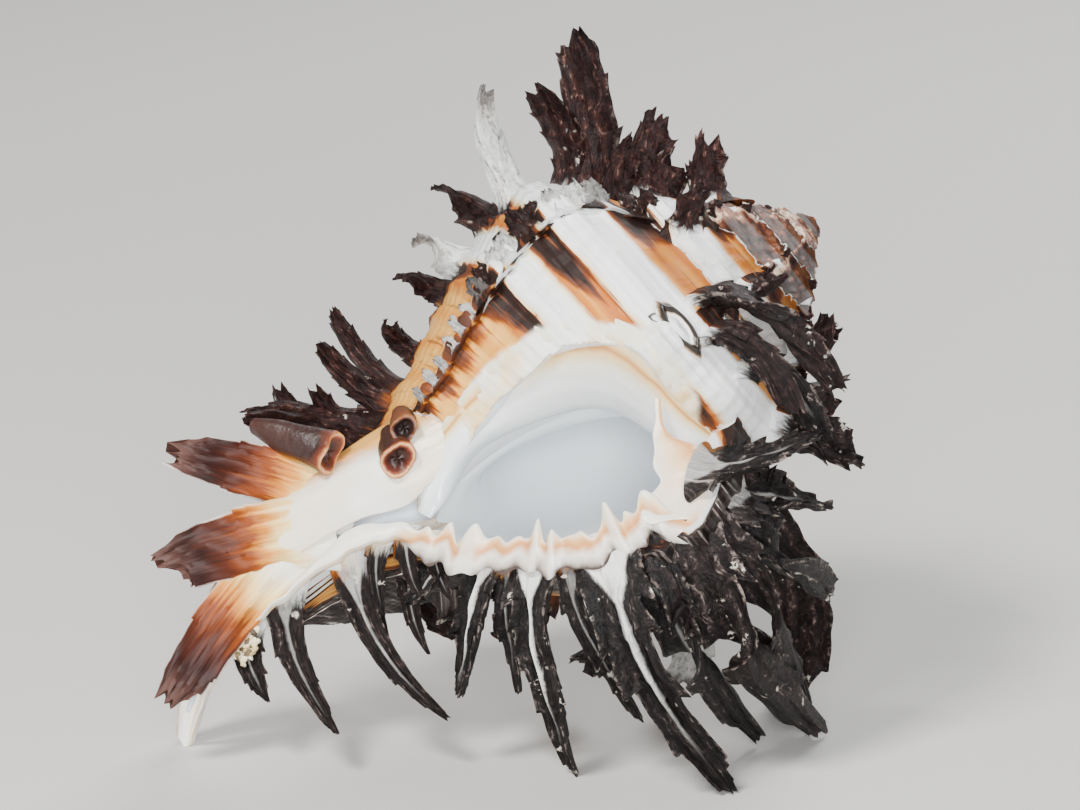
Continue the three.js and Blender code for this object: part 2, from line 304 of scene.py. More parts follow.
def eased(tree, value, low, high, to_low=0.0, to_high=1.0):
    """Carries low..high to to_low..to_high along an S-curve and holds the ends."""
    span = {0: value, 1: low, 2: high, 3: to_low, 4: to_high}
    return node(tree, "ShaderNodeMapRange", span, interpolation_type="SMOOTHSTEP").outputs[0]


def mixed(tree, share, first, second):
    """Two colours mixed by a share: all of the first at 0, all of the second at 1."""
    return node(tree, "ShaderNodeMix", {0: share, 6: first, 7: second}, data_type="RGBA").outputs[2]


def cloudy(tree, where, scale, detail=3, rough=0.5):
    """Noise about one half, in lumps one over scale across."""
    spots = {"Vector": where, "Scale": scale, "Detail": detail, "Roughness": rough}
    return node(tree, "ShaderNodeTexNoise", spots).outputs["Fac"]


def along_axes(tree, *values):
    """Three numbers as one place."""
    return node(tree, "ShaderNodeCombineXYZ", dict(enumerate(values))).outputs[0]


def shades(tree, value, rows):
    """A ramp of colours: each row is a place from 0 to 1 and the colour there."""
    made = node(tree, "ShaderNodeValToRGB", {0: value})
    ramp = made.color_ramp
    while len(ramp.elements) < len(rows):
        ramp.elements.new(0.5)
    for element, (place, colour) in zip(ramp.elements, rows):
        element.position = place
    for element, (place, colour) in zip(ramp.elements, rows):
        element.color = paint(*colour)
    return made.outputs[0]


def group(name, outputs):
    """An empty node group with named outputs: True for a colour, False for a number."""
    tree = bpy.data.node_groups.new(name, "ShaderNodeTree")
    for label, is_colour in outputs.items():
        kind = "NodeSocketColor" if is_colour else "NodeSocketFloat"
        tree.interface.new_socket(label, in_out="OUTPUT", socket_type=kind)
    return tree, tree.nodes.new("NodeGroupOutput")


def material(name):
    """A new material, its tree and its shader."""
    made = bpy.data.materials.new(name)
    made.use_nodes = True
    return made, made.node_tree, made.node_tree.nodes["Principled BSDF"]


def dressed(tree, shader, colour, roughness, bump=None, glow=None, shine=None):
    """Gives a shader its colour and roughness. Bump is height, strength and depth in metres; glow is the
    share of light that goes under the surface and how far, in metres; shine is the specular level."""
    wanted = {"Base Color": colour, "Roughness": roughness}
    if bump:
        height = dict(zip(("Height", "Strength", "Distance"), bump))
        wanted["Normal"] = node(tree, "ShaderNodeBump", height).outputs[0]
    if glow:
        wanted["Subsurface Weight"], wanted["Subsurface Scale"] = glow
    if shine:
        wanted["Specular IOR Level"] = shine
    feed(tree, shader, wanted)


WHITE, CREAM, AMBER, ORANGE = (240, 242, 240), (240, 222, 180), (216, 144, 58), (184, 100, 26)
HONEY, BROWN, DARK = (230, 174, 90), (112, 56, 24), (34, 20, 16)
# down the whorl: where each colour is reached, and how soon dark pigment spreads there before a varix
BAND_COLOURS = [
    [-0.36, AMBER, 0.4], [-0.31, ORANGE, 0.7], [-0.26, AMBER, 0.6], [-0.2, ORANGE, 0.75], [-0.15, AMBER, 0.5],
    [-0.12, WHITE, 0], [0.14, WHITE, 0], [0.165, CREAM, 0.25], [0.19, ORANGE, 0.75], [0.235, ORANGE, 1.0],
    [0.28, AMBER, 0.85], [0.33, ORANGE, 0.45], [0.355, CREAM, 0.05], [0.38, WHITE, 0], [0.535, WHITE, 0],
    [0.56, CREAM, 0.3], [0.585, ORANGE, 0.95], [0.63, AMBER, 1.0], [0.69, ORANGE, 0.6], [0.76, HONEY, 0.25],
    [0.85, AMBER, 0.45], [0.92, HONEY, 0.3], [1.0, AMBER, 0.5], [1.08, HONEY, 0.3], [1.17, AMBER, 0.5],
    [1.27, HONEY, 0.3], [1.38, AMBER, 0.6], [1.48, ORANGE, 0.85], [1.62, BROWN, 0.9],
]
TOP_DROP, DROP_SPAN = -0.4, 2.3

bands, painted = group("spiral_bands", {"Color": True, "Pigment": False, "Relief": False})
drop, turn, age = kept(bands, "drop"), kept(bands, "turn"), kept(bands, "age")
place = here(bands)
threads = cloudy(bands, along_axes(bands, times(bands, drop, 38), times(bands, turn, 8)), 1.0, 4, 0.62)
lumps = cloudy(bands, place, 150, 3)
shift = plus(bands, swing(bands, lumps, 0.09), swing(bands, threads, 0.04))
from_top = plus(bands, maths(bands, "SUBTRACT", drop, TOP_DROP), shift)
at = maths(bands, "DIVIDE", from_top, DROP_SPAN)
light = shades(bands, at, [((row[0] - TOP_DROP) / DROP_SPAN, row[1]) for row in BAND_COLOURS])
readiness = [((row[0] - TOP_DROP) / DROP_SPAN, [255 * row[2]] * 3) for row in BAND_COLOURS]
soon = node(bands, "ShaderNodeSeparateColor", {0: shades(bands, at, readiness)}).outputs[0]
soon = maths(bands, "POWER", soon, 0.4545)
ripe = plus(bands, eased(bands, age, 0.1, 1.0), swing(bands, threads, 0.55))
level = maths(bands, "SUBTRACT", plus(bands, soon, times(bands, ripe, 0.8)), 1.02)
darkening = [(0.0, ORANGE), (0.12, BROWN), (0.32, (84, 50, 36)), (0.6, DARK)]
deepened = shades(bands, eased(bands, level, 0.0, 0.5), darkening)
colour = mixed(bands, eased(bands, level, -0.02, 0.08), light, deepened)
lines = eased(bands, threads, 0.56, 0.66)
stained = eased(bands, soon, 0.2, 0.5)
colour = mixed(bands, times(bands, lines, stained, 0.8), colour, paint(126, 66, 30))
# grey strokes on the white shell just before each varix: partly its own streaks, partly painted shadow in the
# gaps under the worn scales and frond bases
stroke_at = along_axes(bands, times(bands, drop, 60), times(bands, turn, 9), 7.0)
strokes = cloudy(bands, stroke_at, 1.0, 3, 0.6)
crest_streak_and_shadow = eased(bands, plus(bands, age, swing(bands, strokes, 0.7)), 1.0, 1.1)
plain = maths(bands, "SUBTRACT", 1.0, stained)
colour = mixed(bands, times(bands, crest_streak_and_shadow, plain, 0.25), colour, paint(92, 84, 78))
hairs = cloudy(bands, along_axes(bands, times(bands, drop, 50), times(bands, turn, 12)), 1.0, 4, 0.65)
# colours for the newest growth: its own dark colour, made darker as painted shade under the lip rim and
# fronds
SOOT_AND_SHADE = [(0.42, (20, 16, 15)), (0.54, (46, 38, 36)), (0.62, (104, 94, 90)), (0.7, (210, 204, 196))]
soot_and_shade = shades(bands, hairs, SOOT_AND_SHADE)
# the last of the growth is painted sooty dark, partly its own dark colour and partly painted shade
# under the lip rim and fronds, but for pale webs between the fronds at the very edge of the lip
webs = times(bands, eased(bands, turn, 1.108, 1.128), eased(bands, drop, 0.3, 0.45),
             eased(bands, drop, 1.15, 1.05))
sooner = plus(bands, turn, eased(bands, drop, 0.95, 1.1, 0.0, 0.13))
newest = times(bands, eased(bands, sooner, 1.0, 1.075), eased(bands, drop, -0.3, -0.1),
               maths(bands, "SUBTRACT", 1, webs))
pigment = maths(bands, "MAXIMUM", times(bands, stained, 0.5), eased(bands, level, 0, 0.2))
growth = cloudy(bands, along_axes(bands, times(bands, drop, 8), times(bands, turn, 150), 3.0), 1.0, 3)
raised = plus(bands, times(bands, threads, 0.55), times(bands, growth, 0.45))
feed(bands, painted, {"Color": mixed(bands, newest, colour, soot_and_shade), "Pigment": pigment, "Relief": raised})

banded, tree, shader = material("banded_shell")
use = node(tree, "ShaderNodeGroup", node_tree=bands)
place = here(tree)
early = eased(tree, kept(tree, "turn"), -0.5, -1.2)
mottle = cloudy(tree, place, 420, 5, 0.7)
ribbed = plus(tree, times(tree, mottle, 0.7), times(tree, use.outputs["Relief"], 0.3))
ribbed = plus(tree, ribbed, eased(tree, kept(tree, "age"), 0.72, 0.97, 0.0, 0.17))
WORN = [(0.45, (32, 14, 10)), (0.55, (78, 38, 26)), (0.62, (140, 84, 58)), (0.69, (232, 208, 180))]
worn = shades(tree, ribbed, WORN)
colour = mixed(tree, times(tree, early, 0.9), use.outputs["Color"], worn)
blurred = plus(tree, kept(tree, "pale"), swing(tree, cloudy(tree, place, 150, 4), 1.1))
MILK = [(0.40, (236, 200, 140)), (0.50, (242, 228, 200)), (0.60, (244, 244, 238))]
milk = shades(tree, cloudy(tree, place, 120, 3), MILK)
colour = mixed(tree, eased(tree, blurred, 0.25, 0.6), colour, milk)
lip_edge = times(tree, eased(tree, kept(tree, "turn"), 1.131, 1.1332),
                 eased(tree, kept(tree, "drop"), 0.32, 0.42))
colour = mixed(tree, lip_edge, colour, paint(244, 232, 214))
height = plus(tree, use.outputs["Relief"], times(tree, mottle, early, 1.6))
duller = maths(tree, "MAXIMUM", use.outputs["Pigment"], early)
roughness = eased(tree, duller, 0, 1, 0.32, 0.62)
dressed(tree, shader, colour, roughness, (height, 0.7, 0.0005), (0.08, 0.0015), 0.28)

FINE_DROPS = np.linspace(PROFILE_TOP, PROFILE_FOOT, 151)
# degrees of one part; azimuths where the grid turns middling and coarse; the inner wall's share of the radius
PART_SPAN, FINE_FROM, MIDDLING_FROM, CORE = 180, -60, -800, 0.05
coil_start = SLOWS_AT + 360 * np.log(FIRST_RADIUS / BODY_RADIUS) / np.log(WHORL_GROWTH)
whorl_parts = []
piece_end = LIP_AZIMUTH
while piece_end > coil_start:
    step, every = (1.25, 1) if piece_end > FINE_FROM else (2.0, 2) if piece_end > MIDDLING_FROM else (6, 3)
    piece_start = max(coil_start, piece_end - PART_SPAN)
    az = np.linspace(piece_start, piece_end, int((piece_end - piece_start) / step) + 2)
    az_grid, drop_grid = np.meshgrid(az, FINE_DROPS[::every], indexing="ij")
    core = skin(az[:, None], np.array([[PROFILE_FOOT, PROFILE_TOP]]), 0) * [CORE, CORE, 1]
    rings = np.concatenate([skin(az_grid, drop_grid), core], 1)
    az_all = np.concatenate([az_grid, az_grid[:, :2]], 1)
    drop_all = np.concatenate([drop_grid, drop_grid[:, :2]], 1)
    x, y, z = np.moveaxis(rings, -1, 0)
    from_mouth = np.hypot((x - 4) / 13, (z + 37) / 15)
    veil = ramped(-y, 4, 9) * ramped(from_mouth, 1.16, 0.84) * ramped(az_all, 230, 190)
    marks = {"drop": drop_all, "turn": az_all / 360, "age": varix_age(az_all)[0], "pale": veil}
    whorl_parts.append(closed_surface("whorl_part", rings, marks, banded))
    piece_end -= PART_SPAN
whorls = combined("whorls", whorl_parts[0], whorl_parts[1:])

# ---- Canal ----
# The spout at the foot of the shell, where the siphon lay: a thick-walled tube drawn out of the last whorl,
# bent back at its end and left open along its front by a narrow slit.

CANAL_TOP, CANAL_REACH = -46, 50
# height, centre across, centre to the front, half width, half depth
CANAL = [
    [-97, 6.6, -7.6, 1.5, 1.4], [-92.5, 2.4, -5.6, 2.3, 2.0], [-86.5, -1.8, -3, 3.0, 2.7],
    [-80, -4, 0, 3.9, 3.6], [-72, -5.6, 2, 5.0, 4.6], [-64, -5.2, 3, 5.8, 5.4], [-56, -3.6, 3, 7, 6.6],
    [CANAL_TOP, -2.5, 2, 8.5, 8],
]
SLIT = [
    [-94, 3.6, -3.5, 0.4, 2.0], [-91, 1.7, -3.0, 0.5, 2.8], [-86, -1.3, 0, 0.65, 3.2],
    [-80, -2.9, 3, 0.75, 3.5], [-72, -3.0, 6, 0.8, 4], [-63, -2.0, 8, 1.0, 4], [-57, 0.3, 8, 1.4, 5],
    [-52, 1, 14, 3.4, 7],
]


def pipe(name, stations, rings, around, finish, lumps=0.0):
    """A tube through the stations: at each height an ellipse about the centre, with low ripples along it."""
    height = np.linspace(stations[0][0], stations[-1][0], rings)[:, None]
    across, front, half_width, half_depth = np.moveaxis(through(stations, height), -1, 0)
    angle = np.linspace(0, 2 * np.pi, around, endpoint=False)[None]
    ripples = np.sin(4 * angle + 0.25 * height) * np.cos(0.6 * height) + 0.5 * np.cos(17 * angle)
    swell = 1 + lumps * ripples
    points = np.stack([
        across + half_width * swell * np.cos(angle),
        -front - half_depth * swell * np.sin(angle),
        height + 0 * angle,
    ], -1)
    drop = 1.25 + 0.4 * (CANAL_TOP - height) / CANAL_REACH + 0.25 * np.cos(angle)
    marks = {"drop": drop, "turn": 0.47 + 0.1 * angle, "age": 0.3, "pale": 0.5 + 0.5 * np.sin(angle + 0.75)}
    return closed_surface(name, points, marks, finish)


spout, tree, shader = material("canal_wall")
use = node(tree, "ShaderNodeGroup", node_tree=bands)
place = here(tree)
ragged = plus(tree, kept(tree, "pale"), swing(tree, cloudy(tree, place, 110, 4), 0.9))
MILKY = [(0.35, (240, 226, 200)), (0.5, (243, 238, 226)), (0.65, (246, 246, 242))]
milky = shades(tree, cloudy(tree, place, 90, 3), MILKY)
colour = mixed(tree, eased(tree, ragged, 0.3, 0.62), use.outputs["Color"], milky)
dressed(tree, shader, colour, 0.3, (use.outputs["Relief"], 0.3, 0.0004), (0.1, 0.002))

glaze, tree, shader = material("glaze")
cloud = cloudy(tree, here(tree), 60, 2)
inside = eased(tree, kept(tree, "turn"), 1.26, 1.08)
near = shades(tree, cloud, [(0.3, (240, 240, 237)), (0.7, (248, 248, 245))])
far = shades(tree, cloud, [(0.3, (236, 243, 248)), (0.7, (244, 248, 251))])
dressed(tree, shader, mixed(tree, inside, near, far), 0.2, glow=(0.3, 0.006))

wall = pipe("canal", CANAL, 120, 64, spout, lumps=0.02)
canal = combined("canal", wall, [pipe("slit", SLIT, 90, 28, glaze)], "DIFFERENCE")
body = combined("shell_body", whorls, [canal])

# ---- Mouth: the hollow inside the last whorl ----
# The animal's chamber, lined with smooth bluish-white glaze. It opens to the front and narrows as it winds
# back round the pillar at the middle of the coil.

COLUMELLA_SHIFT = -3.0
# azimuth, inner and outer radius at mid height, height of the middle, half height, lean outwards at the top
HOLLOW = [
    [130, 9, 12, -20, 4, 0], [170, 7, 14, -24, 7, 1], [220, 6, 16.5, -29, 10.5, 2],
    [270, 5, 19.5, -33, 12.5, 3], [320, 5, 22, -36, 13.8, 4], [360, 5, 24, -38, 14.6, 4.5],
    [385, 5, 25.4, -39.5, 15, 4], [400, 5, 26.4, -40.5, 15.6, 3.5], [408, 5, 28, -40.8, 16, 3.5],
    [416, 5.5, 33, -41, 16.4, 3], [428, 6.5, 40, -41.5, 16.8, 2], [445, 9, 40, -41.5, 16, 1],
    [458, 12.5, 40, -43, 13, 0],
]


def hollow_surface(az, angle):
    """Rounded rectangles in planes through the axis, swept round the pillar."""
    inner, outer, middle, half, lean = np.moveaxis(through(HOLLOW, az), -1, 0)
    bulge = np.sign(np.cos(angle)) * np.abs(np.cos(angle)) ** 0.75
    r = (inner + outer) / 2 + (outer - inner) / 2 * bulge + lean * np.sin(angle)
    a = np.radians(az)
    return np.stack([r * np.cos(a) + COLUMELLA_SHIFT, -r * np.sin(a), middle + half * np.sin(angle)], -1)


around_hollow = np.linspace(0, 2 * np.pi, 72, endpoint=False)
along_hollow = np.linspace(HOLLOW[0][0], HOLLOW[-1][0], 150)
az_grid, angle_grid = np.meshgrid(along_hollow, around_hollow, indexing="ij")
marks = {"drop": 0, "turn": az_grid / 360, "age": 0, "pale": 1}
hollow = closed_surface("hollow", hollow_surface(az_grid, angle_grid), marks, glaze)
body = combined("shell_body", body, [hollow], "DIFFERENCE")
rounded(body)
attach(body, "root")
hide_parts("shell")

# ---- Callus ----
# The thick white porcelain pad that the animal laid over the front of the body whorl, from the top of the
# mouth down to the canal. It rolls over into the chamber along a soft inner edge.

# share of the way down; height, across of the outer edge; height, across, front of the inner edge
CALLUS = [
    [0.00, -22.6, 14.8, -27.2, 14.8, 16.5], [0.06, -23.4, 11.2, -27.9, 12.4, 14.8],
    [0.11, -24.2, 8.0, -28.5, 10.5, 12.6], [0.18, -24.0, 3.5, -29.2, 8.4, 9.8],
    [0.30, -26.2, -3.0, -30.4, 5.2, 8.3], [0.42, -30.6, -6.8, -32.6, 2.6, 8.0],
    [0.54, -36.0, -8.3, -36.0, 0.8, 8.0],
    [0.66, -42.5, -8.2, -41.5, -0.8, 8.2], [0.80, -49.3, -6.2, -48.0, -1.4, 8.8],
    [0.92, -54.5, -2.9, -53.6, 0.5, 9.6], [1.00, -57.0, 0.0, -56.4, 1.4, 10.0],
]
PAD_AZIMUTHS = (30, 200)
# round the pad's section: share of the way across, height above the line across, in mm
PAD_SECTION = [
    [0.0, -0.08, -1.8], [0.10, 0.0, -0.1], [0.20, 0.14, 0.9], [0.32, 0.38, 1.7], [0.46, 0.68, 1.9],
    [0.58, 0.92, 1.0], [0.68, 1.05, -0.5], [0.78, 1.0, -2.2], [0.88, 0.6, -2.6], [1.0, -0.08, -1.8],
]


def body_front(across, height):
    """How far to the front the whorls' surface lies there: that of the nearest point of a fine grid on it."""
    az, down = np.meshgrid(np.linspace(*PAD_AZIMUTHS, 341), FINE_DROPS, indexing="ij")
    points = skin(az, down).reshape(-1, 3)
    gap = (points[:, 0] - across[..., None]) ** 2 + (points[:, 2] - height[..., None]) ** 2
    return -points[gap.argmin(-1), 1]


def unit(v):
    """Vectors scaled to length one."""
    return v / np.linalg.norm(v, axis=-1, keepdims=True)


down = np.linspace(0, 1, 90)
z_out, x_out, z_in, x_in, v_in = through(CALLUS, down).T
v_out = body_front(x_out, z_out)
v_out = np.convolve(np.pad(v_out, 4, "edge"), np.ones(9) / 9, "valid")
outer_edge = np.stack([x_out, -v_out, z_out], -1)
inner_edge = np.stack([x_in, -v_in, z_in], -1)
across_pad = inner_edge - outer_edge
upward = unit(np.cross(unit(np.gradient(inner_edge + outer_edge, axis=0)), unit(across_pad)))
upward = upward * np.sign(-upward[:, 1:2])
share, lift = through(PAD_SECTION, np.linspace(0, 1, 56, endpoint=False)).T
thin = np.sin(np.pi * np.clip(down, 0.02, 0.98)) ** 0.5
ripple = 0.03 * np.sin(30 * share[None] + 7 * down[:, None]) * bell(share[None], 0.45, 0.4)
rings = outer_edge[:, None] + across_pad[:, None] * share[None, :, None]
rings = rings + upward[:, None] * (lift[None] * thin[:, None] + ripple * (lift[None] > 0))[..., None]

porcelain, tree, shader = material("callus")
cloud = cloudy(tree, here(tree), 110, 3)
edge = plus(tree, kept(tree, "across"), swing(tree, cloud, 0.25))
# peach along the outer edge and white across the pad; the last, grey-blue stop is painted shade along the
# inner edge, where the pad rolls into the chamber
PAD_COLOURS_AND_EDGE_SHADE = [
    (0.0, (244, 234, 212)), (0.10, (238, 204, 148)), (0.15, (208, 142, 76)), (0.20, (242, 206, 144)),
    (0.30, (246, 236, 214)), (0.42, (243, 244, 241)), (0.8, (240, 243, 242)), (0.97, (214, 223, 228)),
]
dressed(tree, shader, shades(tree, edge, PAD_COLOURS_AND_EDGE_SHADE), 0.22, (cloud, 0.12, 0.0006), (0.2, 0.003))

callus = closed_surface("callus", rings, {"across": share[None]}, porcelain)
rounded(callus, 80)
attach(callus, "root")
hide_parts("shell")

# ---- Lip rim ----
# The thin outer edge of the mouth, peach and white, which runs on down the right side of the canal. It stands
# up in a sharp point wherever a frond's ridge reaches it, and dips between them. Along the canal it is the
# edge of a fin that rises from the wall.

# share of the way from the canal's tip; height, across, front
RIM = [
    [0.00, -96.6, 6.9, -6.0], [0.08, -90.6, 3.0, 0.3], [0.16, -83.5, 0.3, 4.2], [0.24, -76.0, -1.0, 7.0],
    [0.33, -67.0, -1.0, 8.8], [0.41, -60.2, 1.0, 9.8], [0.47, -56.8, 4.2, 11.4], [0.52, -54.3, 7.4, 13.6],
    [0.58, -51.2, 10.4, 16.4], [0.64, -47.7, 13.2, 19.2], [0.70, -43.7, 15.3, 21.2],
    [0.76, -39.2, 16.4, 22.2], [0.82, -34.9, 17.1, 22.6], [0.86, -31.7, 19.4, 22.2],
    [0.89, -31.1, 15.6, 20.8], [0.93, -30.0, 11.4, 19.6], [0.97, -28.4, 8.2, 19.0], [1.00, -26.3, 5.8, 19.0],
]
RIM_POINTS, MOUTH_STARTS, MOUTH_MIDDLE = 14, 0.4, np.array([2.0, -12, -42])

walk = np.linspace(0, 1, 520)
up, across, front = through(RIM, walk).T
path = np.stack([across, -front, up], -1)
uneven = 0.45 * np.sin(walk * 95) + 0.3 * np.sin(walk * 171 + 1)
facing = np.array([-0.5, -0.86, 0.0])
inward = unit(np.cross(facing, np.gradient(path, axis=0)))
beside_mouth = np.searchsorted(walk, 0.655)
inward = inward * np.sign(inward[beside_mouth] @ (MOUTH_MIDDLE - path[beside_mouth]))
at_mouth = ramped(walk, MOUTH_STARTS, 0.48) * ramped(walk, 0.95, 0.88)
uneven = uneven * (0.3 + 0.7 * at_mouth) * ramped(walk, 0, 0.1)
path = path + inward * (uneven + 1.5 * at_mouth * ramped(walk, 0.5, 0.58))[:, None]
beat = (walk - MOUTH_STARTS) / (1 - MOUTH_STARTS) * RIM_POINTS + 0.3 * np.sin(walk * 40)
spike = np.cos(np.pi * beat) ** 2
spike = spike * (0.65 + 0.45 * np.sin(2.4 * np.floor(beat + 0.5) + 1)) * at_mouth
angle = np.linspace(0, 2 * np.pi, 20, endpoint=False)[None]
width = 0.3 + 0.2 * ramped(walk, 0, 0.3) + 0.2 * ramped(walk, 0.36, 0.47) - 0.5 * ramped(walk, 0.9, 1)
width = (width * (1 + 0.12 * np.sin(walk * 150) * np.cos(walk * 67)))[:, None]
flange = (3.8 * ramped(walk, 0.84, 0.90) * ramped(walk, 0.98, 0.91) + 1.5 * at_mouth)[:, None]
flap = 2.2 * bell(walk, 0.355, 0.055)[:, None]
outward_side = 2.4 * width + flange
reach_in = np.where(np.cos(angle) > 0, (0.6 + 3.2 * spike[:, None]) * width + flap, outward_side)
rim = path[:, None] + inward[:, None] * (reach_in * np.cos(angle))[..., None]
inner_share, outer_share = (1 + np.cos(angle)) / 2, (1 - np.cos(angle)) / 2
stand = 0.4 * np.sin(angle) + (2.4 * spike[:, None] - 0.5) * inner_share - 1.6 * outer_share**2
stand = stand * width
rim = rim + facing * stand[..., None]
fin = 4.6 * ramped(walk, 0.47, 0.36) * (0.35 + 0.65 * ramped(walk, 0, 0.15))
rim = rim + np.array([-0.25, 0.97, 0.0]) * (fin[:, None] * outer_share**6)[..., None]

frilled, tree, shader = material("lip_rim")
across = plus(tree, kept(tree, "across"), swing(tree, cloudy(tree, here(tree), 260, 3), 0.5))
peach = shades(tree, across, [
    (0.0, (70, 58, 52)), (0.1, (186, 176, 166)), (0.24, (236, 228, 218)), (0.40, (214, 146, 84)),
    (0.62, (240, 202, 154)), (0.98, (244, 236, 224)),
])
on_spike = eased(tree, kept(tree, "ridge"), 0.4, 0.9, 0, 0.7)
dressed(tree, shader, mixed(tree, on_spike, peach, paint(244, 236, 222)), 0.3, glow=(0.15, 0.0015))

ends = 0.5 * ramped(walk, 0.45, 0.38) + 0.35 * ramped(walk, 0.82, 0.9)
marks = {"across": inner_share + ends[:, None], "ridge": spike[:, None]}
lip_rim = closed_surface("lip_rim", rim, marks, frilled)
rounded(lip_rim, 60)
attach(lip_rim, "root")
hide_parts("shell")

# ---- Lip fronds ----
# The newest and longest fronds, thrown out by the lip where each cord reached it. Each is a thin sheet folded
# into a gutter, charcoal, and some have a white keel down the groove. The shell stands on the tips of a few
# of them, on one behind them and on the tip of the canal.

# azimuth, drop; tip: height, across, front; width, thickness; ink, tone, ridge
LIP_FRONDS = [
    [405, 0.22, -33.6, 51.1, -11, 8.5, 2.4, 1, 0.8, 0], [405, 0.36, -40, 47, -6, 5.5, 1.8, 1, 1, 0.2],
    [408, 0.5, -46.2, 49.1, 12, 6.5, 2.0, 1, 1, 1], [408, 0.76, -60.4, 36.6, 5, 5.2, 2.0, 1, 1, 1],
    [408, 0.92, -66.1, 21.3, 6, 4.8, 1.8, 1, 1, 1], [408, 1.08, -65, 8.5, 8, 3.6, 1.4, 1, 1, 0.5],
    [400, -0.1, -17.1, 28.3, 8, 7, 1.6, 1, 0.8, 0.3], [398, 0, -23.1, 38, -4, 7, 1.6, 1, 1, 0],
    [412, -0.08, -12.9, 20.3, 20, 4.5, 1.6, 1, 1, 0.4], [402, 0.08, -33, 48, -13, 5, 1.5, 1, 0.8, 0],
    [408, 0.64, -50, 36, 9, 3, 1.2, 1, 1, 0.2], [408, 0.85, -60, 25, 7, 3, 1.2, 1, 1, 0.2],
]


def frond(base, out, growth, tip, width, thick, radius, marks, seed, teeth, bite, cup, bow=0.45, flare=1.0,
          sharp=0.0, finish=None):
    """A gutter-shaped leaf along a bent line from base to tip. Across it the section is a cupped lens with
    cords along it and, on some, a keel in the groove. Its edges throw forward spurs and its end is split. It
    flares into a buttress where it joins the shell. Sharp is how far it narrows to a point. Seed picks its
    spurs."""
    rng = np.random.default_rng(seed)
    tip = np.asarray(tip, float)
    length = np.linalg.norm(tip - base)
    rows, columns = (72, 27) if width > 2.7 else (28, 17)
    s = np.linspace(0, 1, rows)[:, None] ** 1.1
    start = base - out * (0.06 * length + 0.9)
    knee = base + out * bow * length
    line = (1 - s) ** 2 * start + 2 * s * (1 - s) * knee + s**2 * tip
    line = line + np.sin(2 * np.pi * s) * s * rng.normal(0, 0.012 * length, 3)
    along = unit(np.gradient(line, axis=0))
    side = unit(np.cross(along, growth))
    front = unit(np.cross(side, along))
    x = -np.cos(np.linspace(0, np.pi, columns))
    face = np.concatenate([np.ones(columns), -np.ones(columns - 2)])[None]
    x = np.concatenate([x, x[-2:0:-1]])[None]
    half = np.sign(x)
    buttress = np.interp(s, [0, 0.07, 0.16, 0.3], [1.3, 0.75, 0.28, 0]) * flare
    taper = np.interp(s, [0, 0.3, 0.6, 0.85, 1], [1, 0.96, 0.86, 0.72, 0.52]) * (1 - sharp * s**2)
    spread = (buttress + taper) * width / 2
    ends = np.sort(rng.uniform(0.22, 0.97, (2, teeth)), 1)[:, None]
    rise = rng.uniform(0.07, 0.2, (2, 1, teeth))
    climb = np.clip(1 - (ends - s) / rise, 0, 1) * (s < ends)
    spurs = (climb**1.5 * rng.uniform(0.4, 1, (2, 1, teeth))).max(-1)
    spur = np.where(x < 0, spurs[0][:, None], spurs[1][:, None])
    phase = rng.uniform(0, 6, 4)
    fray = 0.07 * np.sin(48 * s + phase[0] + 2 * half) + 0.05 * np.sin(29 * s + phase[1] * half)
    reach_across = spread * x * (1 + bite * spur + bite * fray * x**2)
    root_depth = np.interp(s, [0, 0.08, 0.2, 0.35], [2.2, 1.3, 0.35, 0]) * flare
    body_depth = (root_depth + np.interp(s, [0, 0.35, 0.7, 1], [1.2, 0.8, 0.5, 0.26])) * thick / 2
    gutter = cup * ramped(s, 0.03, 0.3) * spread * (np.abs(x) ** 1.8 - 0.35)
    ruffle = 0.16 * spread * np.sin(s * 17 + rng.uniform(0, 6, 2)[(x > 0).astype(int)]) * x**4
    cords = 0.1 * np.cos(x * 9 + rng.uniform(0, 6)) + 0.05 * np.cos(x * 23 + 5 * np.sin(s * 7))
    depth = gutter + ruffle * ramped(s, 0.2, 0.5) + face * body_depth * np.sqrt(np.clip(1 - x**2, 0, 1))
    depth = depth + cords * thick * (1 - x**4) * ramped(s, 0.02, 0.2)
    gnarl = np.sin(12 * s + 4 * x + phase[2]) * np.sin(6 * x + phase[3])
    gnarl = gnarl + 0.6 * np.sin(25 * s - 5 * x + phase[0])
    depth = depth + 0.09 * spread * gnarl * ramped(s, 0.1, 0.3)
    ridge = marks.get("ridge", 0) * (face > 0)
    keel = ridge * bell(x, 0.0, 0.13) * ramped(s, 0.1, 0.25)
    depth = depth + 0.75 * thick * keel * (1 - 0.6 * s)
    splits = np.sort(rng.uniform(-1, 1, 3))
    notch = 1 - np.exp(-np.abs(x[..., None] - splits) / 0.2).max(-1)
    forward = bite * 1.2 * spur * spread * x**4
    forward = forward - 0.38 * (1 - sharp) * width * notch * ramped(s, 0.76, 1.0)
    points = line[:, None] + side[:, None] * reach_across[..., None] + front[:, None] * depth[..., None]
    points = points + along[:, None] * forward[..., None]
    values = {"own": rng.uniform(0, 1), "reach": s, "across": x, "root": s * max(length, 14), **marks}
    values.update(ridge=ridge, drop=marks.get("drop", 0) + reach_across / radius)
    return closed_surface("frond", points, values, finish or leafy)


def surface_frame(az, drop):
    """Point on the whorls, the direction of growth there and the outward normal."""
    p = skin(np.array(float(az)), np.array(float(drop)), 0.6)
    a = np.radians(az)
    growth = np.array([-np.sin(a), -np.cos(a), 0.0])
    low, high = (skin(np.array(float(az)), np.array(drop + d), 0) for d in (0.05, -0.05))
    out = unit(np.cross(low - high, growth))
    return p, out * np.sign(out @ [np.cos(a), -np.sin(a), 0]), growth


